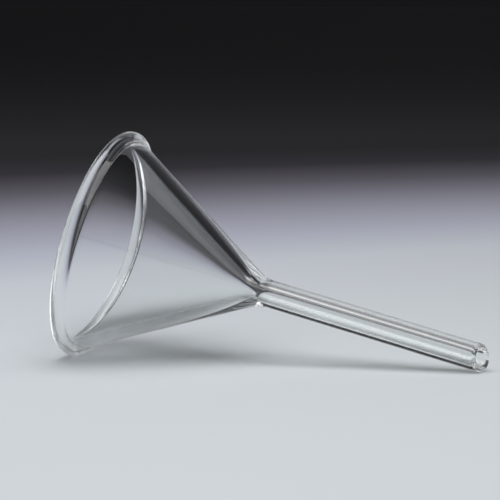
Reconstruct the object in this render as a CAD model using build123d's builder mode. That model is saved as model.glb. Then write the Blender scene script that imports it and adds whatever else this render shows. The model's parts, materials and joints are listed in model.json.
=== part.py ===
from build123d import *
import os
from math import asin, atan2, cos, degrees, hypot, radians, sin, sqrt, tan

# Conical filter funnel of one piece of borosilicate glass, lying on its rim bead and stem tip.
# Lengths are millimetres and angles are degrees. +Z is up, the open mouth faces -X and the
# stem slopes down towards +X. In the section, X runs along the axis from the mouth plane
# towards the tip, and Y is the radius.

# Driving dimensions
mouth_diameter = 75.0  # over the rim bead
cone_angle = 60.0  # outside, from wall to opposite wall
inside_angle = 61.0  # a little wider, so the wall thickens towards the neck
cone_wall = 3.5  # at the rim, under the bead
stem_diameter = 8.9
stem_bore = 4.6
overall_length = 132.9  # from the mouth plane to the long side of the tip

# Rim bead, a round that the inside of the wall runs into, with a groove behind it outside
bead_proud = 1.35  # over the outside of the cone
bead_groove_radius = 1.2

# Blends where the cone is drawn down to the stem
neck_radius = 11.0  # outside
throat_radius = 12.0  # inside

# Tip, ground off at a slant so that drops leave from its long side, with its edges taken off
grind_angle = 27.5  # off square
grind_turn = 122.0  # the long side, round the axis from the top towards +Y
edge_break = 0.3  # chamfer at the outside and at the bore
grind_overrun = 5.0  # length of stem that the grinding takes away

# Sizes that follow
bead_radius = (cone_wall + bead_proud) / 2
stem_radius = stem_diameter / 2
bore_radius = stem_bore / 2
outside_slope = radians(cone_angle / 2)
inside_slope = radians(inside_angle / 2)
bead_circle_radius = mouth_diameter / 2 - bead_radius

# The round of the bead, from the inside of the wall over the mouth plane to the groove
outside_lift = bead_radius - bead_proud
bead_centre = Vector(bead_radius, bead_circle_radius)
bead_front = Vector(0, bead_circle_radius)
rim_outside = bead_centre + Vector(sin(outside_slope), cos(outside_slope)) * outside_lift
rim_inside = bead_centre - Vector(sin(inside_slope), cos(inside_slope)) * bead_radius

# Corners of the section, which the groove and the blends round off
down_outside = Vector(cos(outside_slope), -sin(outside_slope))
down_inside = Vector(cos(inside_slope), -sin(inside_slope))
heel_corner = rim_outside + down_outside * sqrt(bead_radius**2 - outside_lift**2)
neck_corner = rim_outside + down_outside * ((rim_outside.Y - stem_radius) / sin(outside_slope))
throat_corner = rim_inside + down_inside * ((rim_inside.Y - bore_radius) / sin(inside_slope))

# Ground end: how far its long side and its lowest point stand beyond its middle
grind_slope = tan(radians(grind_angle))
low_slope = grind_slope * cos(radians(180 - grind_turn))
grind_centre_length = overall_length - stem_radius * grind_slope
low_length = grind_centre_length + stem_radius * low_slope

# Slope at rest: the floor touches the round of the bead and the end of the stem's underside
contact_run = low_length - edge_break - bead_radius
contact_drop = bead_circle_radius - stem_radius
bead_turn = asin(bead_radius / hypot(contact_run, contact_drop))
rest_slope = degrees(atan2(contact_drop, contact_run) + bead_turn)

# The section's plane and the plane of the ground end
section_plane = Plane.XZ.rotated((0, rest_slope, 0))
funnel_axis = Axis((0, 0, 0), section_plane.x_dir)
long_side = section_plane.y_dir.rotate(funnel_axis, -grind_turn)
grind_plane = Plane(
    origin=section_plane.x_dir * grind_centre_length,
    z_dir=section_plane.x_dir - long_side * grind_slope,
)

with BuildPart() as funnel:
    with BuildSketch(section_plane) as section:
        with BuildLine():
            ThreePointArc(rim_inside, bead_front, heel_corner)
            Polyline(
                heel_corner,
                neck_corner,
                (overall_length + grind_overrun, stem_radius),
                (overall_length + grind_overrun, bore_radius),
                throat_corner,
                rim_inside,
            )
        make_face()
        blends = (
            (heel_corner, bead_groove_radius),
            (neck_corner, neck_radius),
            (throat_corner, throat_radius),
        )
        for corner, radius in blends:
            fillet(section.vertices().sort_by_distance(corner)[0], radius)
    revolve(axis=funnel_axis)
    split(bisect_by=grind_plane, keep=Keep.BOTTOM)
    ground_face = funnel.faces().filter_by(GeomType.PLANE).sort_by(Axis.X)[-1]
    chamfer(ground_face.edges(), edge_break)

# The origin is on the floor, under the middle of the funnel's box
rest_box = funnel.part.bounding_box()
funnel.part.move(Location((-rest_box.center().X, -rest_box.center().Y, -rest_box.min.Z)))
funnel.part.label = "funnel"

os.makedirs("parts", exist_ok=True)
export_step(funnel.part, "parts/funnel.step")
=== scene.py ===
import json
import math
import bpy
from mathutils import Matrix, Vector


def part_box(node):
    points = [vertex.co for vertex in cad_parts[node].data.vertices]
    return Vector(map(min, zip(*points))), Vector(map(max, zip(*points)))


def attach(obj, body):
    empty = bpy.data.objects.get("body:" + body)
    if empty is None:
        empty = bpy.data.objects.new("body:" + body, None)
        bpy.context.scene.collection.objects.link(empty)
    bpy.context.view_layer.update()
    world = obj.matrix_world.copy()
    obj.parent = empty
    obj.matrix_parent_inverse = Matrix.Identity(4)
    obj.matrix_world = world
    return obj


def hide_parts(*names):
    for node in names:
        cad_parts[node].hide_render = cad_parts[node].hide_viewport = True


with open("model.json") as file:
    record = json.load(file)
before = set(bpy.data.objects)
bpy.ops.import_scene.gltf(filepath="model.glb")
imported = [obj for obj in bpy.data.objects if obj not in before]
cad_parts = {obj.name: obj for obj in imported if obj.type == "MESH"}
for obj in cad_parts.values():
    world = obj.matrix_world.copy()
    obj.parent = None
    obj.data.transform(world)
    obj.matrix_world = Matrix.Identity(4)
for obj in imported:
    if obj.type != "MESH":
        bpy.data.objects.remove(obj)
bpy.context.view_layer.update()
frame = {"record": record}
scene = bpy.context.scene


# small helpers shared by the pieces

def selectNothing():
    if bpy.context.object and bpy.context.object.mode != "OBJECT":
        bpy.ops.object.mode_set(mode="OBJECT")
    bpy.ops.object.select_all(action="DESELECT")


def angleOf(vector):
    return math.degrees(math.atan2(vector.y, vector.x))


def arcPoints(centre, radius, startAngle, endAngle, steps):
    # points of an arc in the section plane, angles in degrees
    points = []
    for step in range(steps + 1):
        angle = math.radians(startAngle + (endAngle - startAngle) * step / steps)
        points.append(Vector((centre.x + radius * math.cos(angle), centre.y + radius * math.sin(angle))))
    return points


def linePoints(start, end, steps):
    # points between two ends, without the ends
    return [start.lerp(end, step / steps) for step in range(1, steps)]


def tangentFillet(corner, towardsA, towardsB, radius, steps):
    # arc tangent to both legs of a corner, from leg a to leg b
    a = (towardsA - corner).normalized()
    b = (towardsB - corner).normalized()
    half = a.angle(b) / 2
    middle = corner + (a + b).normalized() * radius / math.sin(half)
    start = angleOf(corner + a * radius / math.tan(half) - middle)
    end = angleOf(corner + b * radius / math.tan(half) - middle)
    turn = (end - start + 180) % 360 - 180
    return arcPoints(middle, radius, start, start + turn, steps)


def lookVector(azimuth, elevation):
    # azimuth 0 is +y and grows towards -x, both in degrees
    turn = math.radians(azimuth)
    rise = math.radians(elevation)
    return Vector((-math.sin(turn) * math.cos(rise), math.cos(turn) * math.cos(rise), math.sin(rise)))


def fillRamp(node, shades):
    # the new ramp's last stop makes room for the shades
    stops = node.color_ramp.elements
    stops.remove(stops[-1])
    stops[0].position, stops[0].color = shades[0]
    for position, colour in shades[1:]:
        stops.new(position).color = colour


# clear glass: pressed and drawn, then fire polished

glassFinish = {
    "colour": (0.985, 0.995, 0.99, 1),
    "ior": 1.474,
    "waveScale": 60.0,  # slow waves of the wall, per metre
    "waveDetail": 1.0,
    "waveHeight": 0.00006,
    "hazeScale": 420.0,  # patches where the polish is less even
    "hazeRange": (0.45, 0.75),  # part of the noise that shows
    "hazeRoughness": 0.012,
}


def glassMaterial(finish):
    material = bpy.data.materials.new("clear_borosilicate")
    material.use_nodes = True
    nodes = material.node_tree.nodes
    links = material.node_tree.links
    shader = nodes["Principled BSDF"]
    shader.inputs["Base Color"].default_value = finish["colour"]
    shader.inputs["Transmission Weight"].default_value = 1.0
    shader.inputs["IOR"].default_value = finish["ior"]
    place = nodes.new("ShaderNodeTexCoord")
    waves = nodes.new("ShaderNodeTexNoise")
    waves.inputs["Scale"].default_value = finish["waveScale"]
    waves.inputs["Detail"].default_value = finish["waveDetail"]
    bump = nodes.new("ShaderNodeBump")
    bump.inputs["Distance"].default_value = finish["waveHeight"]
    links.new(place.outputs["Object"], waves.inputs["Vector"])
    links.new(waves.outputs["Fac"], bump.inputs["Height"])
    links.new(bump.outputs["Normal"], shader.inputs["Normal"])
    haze = nodes.new("ShaderNodeTexNoise")
    haze.inputs["Scale"].default_value = finish["hazeScale"]
    polish = nodes.new("ShaderNodeMapRange")
    polish.inputs["From Min"].default_value = finish["hazeRange"][0]
    polish.inputs["From Max"].default_value = finish["hazeRange"][1]
    polish.inputs["To Max"].default_value = finish["hazeRoughness"]
    links.new(place.outputs["Object"], haze.inputs["Vector"])
    links.new(haze.outputs["Fac"], polish.inputs["Value"])
    links.new(polish.outputs["Result"], shader.inputs["Roughness"])
    return material


# funnel, lathed from its section: x along the axis from the mouth plane, y the radius

funnelSize = {
    "mouthDiameter": 0.075,  # over the bead
    "outsideAngle": 60.0,
    "insideAngle": 61.0,
    "wall": 0.0035,  # at the rim, under the bead
    "stemDiameter": 0.0089,
    "stemBore": 0.0046,
    "overallLength": 0.1329,
    "beadProud": 0.00135,  # over the outside of the cone
    "beadGroove": 0.0012,
    "neckRadius": 0.011,
    "throatRadius": 0.012,
    "grindAngle": 27.5,  # off square
    "grindTurn": 122.0,  # the long side, round the axis from the top
    "grindOverrun": 0.005,
    "polishWidth": 0.000405,  # round along both edges of the ground face
    "polishProfile": 0.5,  # a part of a circle
    "turns": 288,  # from here on, how fine the mesh is
    "beadSteps": 60,
    "grooveSteps": 8,
    "neckSteps": 14,
    "throatSteps": 10,
    "wallSteps": 36,
    "stemSteps": 40,
    "polishSteps": 5,
    "weld": 0.000002,  # closer points become one
    "sharpAngle": 40,  # edges below it are shaded smooth
}


def beadRadius(size):
    return (size["wall"] + size["beadProud"]) / 2


def funnelSection(size):
    bead = beadRadius(size)
    stem = size["stemDiameter"] / 2
    bore = size["stemBore"] / 2
    outer = math.radians(size["outsideAngle"] / 2)
    inner = math.radians(size["insideAngle"] / 2)
    outward = Vector((math.sin(outer), math.cos(outer)))
    inward = -Vector((math.sin(inner), math.cos(inner)))
    downOutside = Vector((math.cos(outer), -math.sin(outer)))
    downInside = Vector((math.cos(inner), -math.sin(inner)))
    beadCentre = Vector((bead, size["mouthDiameter"] / 2 - bead))
    outsideLift = bead - size["beadProud"]
    onOutside = beadCentre + outward * outsideLift
    onInside = beadCentre + inward * bead
    neck = onOutside + downOutside * (onOutside.y - stem) / math.sin(outer)
    throat = onInside + downInside * (onInside.y - bore) / math.sin(inner)
    end = size["overallLength"] + size["grindOverrun"]
    stemEnd = Vector((end, stem))
    boreEnd = Vector((end, bore))
    # a groove takes up the corner between the bead and the outside
    groove = size["beadGroove"]
    lift = outsideLift + groove
    reach = math.sqrt((bead + groove) ** 2 - lift ** 2)
    grooveCentre = beadCentre + outward * lift + downOutside * reach
    heelAngle = angleOf(grooveCentre - beadCentre)
    grooveEnd = angleOf(outward) + 180
    # once round: bead, groove, outside, tip, bore, inside
    loop = arcPoints(beadCentre, bead, angleOf(inward) % 360, heelAngle, size["beadSteps"])
    loop += arcPoints(grooveCentre, groove, heelAngle + 180, grooveEnd, size["grooveSteps"])[1:]
    neckArc = tangentFillet(neck, loop[-1], stemEnd, size["neckRadius"], size["neckSteps"])
    throatArc = tangentFillet(throat, boreEnd, loop[0], size["throatRadius"], size["throatSteps"])
    loop += linePoints(loop[-1], neckArc[0], size["wallSteps"]) + neckArc
    loop += linePoints(neckArc[-1], stemEnd, size["stemSteps"]) + [stemEnd, boreEnd]
    loop += linePoints(boreEnd, throatArc[0], size["stemSteps"]) + throatArc
    loop += linePoints(throatArc[-1], loop[0], size["wallSteps"])
    return loop


def funnelPlace(size):
    # axis and top direction come from the stem mount, the mouth centre from the frame's box
    stemMount = [mount for mount in frame["record"]["mounts"] if mount["name"] == "stem"][0]
    axis = Vector(stemMount["axis"]).normalized()
    top = Vector((-axis.z, 0, axis.x))
    bead = beadRadius(size)
    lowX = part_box("funnel")[0].x
    onAxis = Vector(stemMount["pos_m"])
    mouthX = lowX + bead - bead * axis.x + (size["mouthDiameter"] / 2 - bead) * top.x
    mouth = onAxis + axis * (mouthX - onAxis.x) / axis.x
    return mouth, axis, top


def grindTip(size, mouth, axis, top):
    # for the mesh that is in edit mode
    slope = math.tan(math.radians(size["grindAngle"]))
    longSide = Matrix.Rotation(math.radians(-size["grindTurn"]), 3, axis) @ top
    grindAt = mouth + axis * (size["overallLength"] - size["stemDiameter"] / 2 * slope)
    grindNormal = (axis - longSide * slope).normalized()
    bpy.ops.mesh.select_all(action="SELECT")
    bpy.ops.mesh.bisect(plane_co=grindAt, plane_no=grindNormal, clear_outer=True)
    # the cut leaves both edge loops selected: join them by the ground face and round its edges
    bpy.ops.mesh.bridge_edge_loops()
    bpy.ops.mesh.region_to_loop()
    bpy.ops.mesh.bevel(
        offset=size["polishWidth"],
        segments=size["polishSteps"],
        profile=size["polishProfile"],
        affect="EDGES",
    )


def makeFunnel(size):
    mouth, axis, top = funnelPlace(size)
    loop = funnelSection(size)
    selectNothing()
    bpy.ops.mesh.primitive_circle_add(
        vertices=len(loop),
        radius=size["mouthDiameter"] / 2,
        location=(0, 0, 0),
    )
    piece = bpy.context.object
    piece.name = "funnel_glass"
    for vertex, point in zip(piece.data.vertices, loop):
        vertex.co = mouth + axis * point.x + top * point.y
    bpy.ops.object.mode_set(mode="EDIT")
    bpy.ops.mesh.select_all(action="SELECT")
    bpy.ops.mesh.spin(steps=size["turns"], angle=2 * math.pi, center=mouth, axis=axis)
    bpy.ops.mesh.select_all(action="SELECT")
    bpy.ops.mesh.remove_doubles(threshold=size["weld"])
    grindTip(size, mouth, axis, top)
    bpy.ops.mesh.select_all(action="SELECT")
    bpy.ops.mesh.normals_make_consistent(inside=False)
    bpy.ops.object.mode_set(mode="OBJECT")
    bpy.ops.object.shade_smooth_by_angle(angle=math.radians(size["sharpAngle"]))
    return piece


funnel = makeFunnel(funnelSize)
funnel.data.materials.clear()
funnel.data.materials.append(glassMaterial(glassFinish))
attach(funnel, "root")
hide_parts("funnel")
print("funnel", len(funnel.data.polygons), "faces")


# floor: its colour holds a painted pool of light, pale near the funnel, dark far away

floorLook = {
    "side": 16.0,
    "roughness": 0.9,
    "shine": 0.1,
    "middle": (0.60, -0.30, 0.0),  # the painted pool of light lies round this point
    "reach": 1.6,  # distance of the last shade
    "shades": [  # share of the reach, colour
        (0.40, (0.620, 0.660, 0.685, 1)),
        (0.55, (0.650, 0.680, 0.735, 1)),
        (0.60, (0.560, 0.585, 0.680, 1)),
        (0.67, (0.425, 0.425, 0.515, 1)),
        (0.76, (0.195, 0.185, 0.220, 1)),
        (0.84, (0.070, 0.066, 0.080, 1)),
        (0.92, (0.051, 0.051, 0.055, 1)),
        (1.00, (0.062, 0.062, 0.066, 1)),
    ],
}


def makeFloor(look):
    selectNothing()
    bpy.ops.mesh.primitive_plane_add(size=look["side"], location=(0, 0, 0))
    floor = bpy.context.object
    floor.name = "floor"
    material = bpy.data.materials.new("table_paper_painted_light_pool")
    material.use_nodes = True
    nodes = material.node_tree.nodes
    links = material.node_tree.links
    shader = nodes["Principled BSDF"]
    shader.inputs["Roughness"].default_value = look["roughness"]
    shader.inputs["Specular IOR Level"].default_value = look["shine"]
    place = nodes.new("ShaderNodeTexCoord")
    away = nodes.new("ShaderNodeVectorMath")
    away.operation = "DISTANCE"
    away.inputs[1].default_value = look["middle"]
    # painted light: the base colour fades from pale to dark with distance from the middle, standing in
    # for the falloff of a pool of lamp light
    paintedLightFalloff = nodes.new("ShaderNodeMapRange")
    paintedLightFalloff.inputs["From Max"].default_value = look["reach"]
    shades = nodes.new("ShaderNodeValToRGB")
    fillRamp(shades, look["shades"])
    links.new(place.outputs["Object"], away.inputs[0])
    links.new(away.outputs["Value"], paintedLightFalloff.inputs["Value"])
    links.new(paintedLightFalloff.outputs["Result"], shades.inputs["Fac"])
    links.new(shades.outputs["Color"], shader.inputs["Base Color"])
    floor.data.materials.append(material)


makeFloor(floorLook)
print("floor done")


# one broad soft box overhead, and a dim room with a few soft glows

softBox = {
    "size": 1.12,
    "watts": 11.0,
    "place": (0.0, -0.233, 0.869),  # it aims at the origin
}

dimRoom = {
    "shades": [  # sine of the height over the horizon, colour
        (0.00, (0.075, 0.074, 0.080, 1)),
        (0.03, (0.105, 0.103, 0.111, 1)),
        (0.07, (0.088, 0.086, 0.093, 1)),
        (0.11, (0.058, 0.057, 0.062, 1)),
        (0.17, (0.036, 0.036, 0.040, 1)),
        (0.36, (0.022, 0.022, 0.024, 1)),
    ],
    "glows": [  # azimuth, elevation, inner and outer half angle, colour
        (-125.0, 4.0, 8.0, 62.0, (0.34, 0.34, 0.35, 1)),
        (10.0, 19.0, 5.0, 10.5, (0.50, 0.51, 0.54, 1)),
        (0.0, 61.0, 7.0, 11.0, (0.60, 0.61, 0.64, 1)),
    ],
    "seen": (0.008, 0.008, 0.009, 1),  # where the camera looks past the floor
}

mixSockets = {"a": 6, "b": 7, "result": 2}  # colour sockets of a mix node


def makeSoftBox(box):
    bpy.ops.object.light_add(type="AREA", location=box["place"])
    lamp = bpy.context.object
    lamp.name = "softBox"
    lamp.data.shape = "SQUARE"
    lamp.data.size = box["size"]
    lamp.data.energy = box["watts"]
    aim = -Vector(box["place"])
    lamp.rotation_euler = aim.to_track_quat("-Z", "Y").to_euler()


def mixColours(nodes, links, factor, a, b):
    mix = nodes.new("ShaderNodeMix")
    mix.data_type = "RGBA"
    mix.inputs[mixSockets["b"]].default_value = b
    links.new(factor, mix.inputs["Factor"])
    links.new(a, mix.inputs[mixSockets["a"]])
    return mix.outputs[mixSockets["result"]]


def makeRoom(look):
    world = bpy.data.worlds.new("dimRoom")
    scene.world = world
    world.use_nodes = True
    nodes = world.node_tree.nodes
    links = world.node_tree.links
    place = nodes.new("ShaderNodeTexCoord")
    split = nodes.new("ShaderNodeSeparateXYZ")
    shades = nodes.new("ShaderNodeValToRGB")
    fillRamp(shades, look["shades"])
    links.new(place.outputs["Generated"], split.inputs[0])
    links.new(split.outputs["Z"], shades.inputs["Fac"])
    room = shades.outputs["Color"]
    for azimuth, elevation, innerAngle, outerAngle, colour in look["glows"]:
        towards = nodes.new("ShaderNodeVectorMath")
        towards.operation = "DOT_PRODUCT"
        towards.inputs[1].default_value = lookVector(azimuth, elevation)
        edge = nodes.new("ShaderNodeMapRange")
        edge.interpolation_type = "SMOOTHSTEP"
        edge.inputs["From Min"].default_value = math.cos(math.radians(outerAngle))
        edge.inputs["From Max"].default_value = math.cos(math.radians(innerAngle))
        links.new(place.outputs["Generated"], towards.inputs[0])
        links.new(towards.outputs["Value"], edge.inputs["Value"])
        room = mixColours(nodes, links, edge.outputs["Result"], room, colour)
    path = nodes.new("ShaderNodeLightPath")
    room = mixColours(nodes, links, path.outputs["Is Camera Ray"], room, look["seen"])
    links.new(room, nodes["Background"].inputs["Color"])


makeSoftBox(softBox)
makeRoom(dimRoom)
print("lights done")


# camera at the photograph's angle

cameraPlace = {
    "position": (0.20861, -0.72635, 0.12321),
    "azimuth": 16.603,
    "elevation": -6.570,  # it looks down
    "lens": 172.94,
    "sensor": 36.0,
    "clip": (0.01, 50.0),
}

lightPath = {"bounces": 64, "insideGlass": 48}  # light runs far along the inside of the wall


def makeCamera(place):
    bpy.ops.object.camera_add(location=place["position"])
    camera = bpy.context.object
    forward = lookVector(place["azimuth"], place["elevation"])
    camera.rotation_euler = forward.to_track_quat("-Z", "Y").to_euler()
    camera.data.sensor_width = place["sensor"]
    camera.data.lens = place["lens"]
    camera.data.clip_start, camera.data.clip_end = place["clip"]
    scene.camera = camera


makeCamera(cameraPlace)
scene.view_settings.view_transform = "Standard"
scene.cycles.max_bounces = lightPath["bounces"]
scene.cycles.glossy_bounces = lightPath["insideGlass"]
scene.cycles.transmission_bounces = lightPath["insideGlass"]
print("camera done")
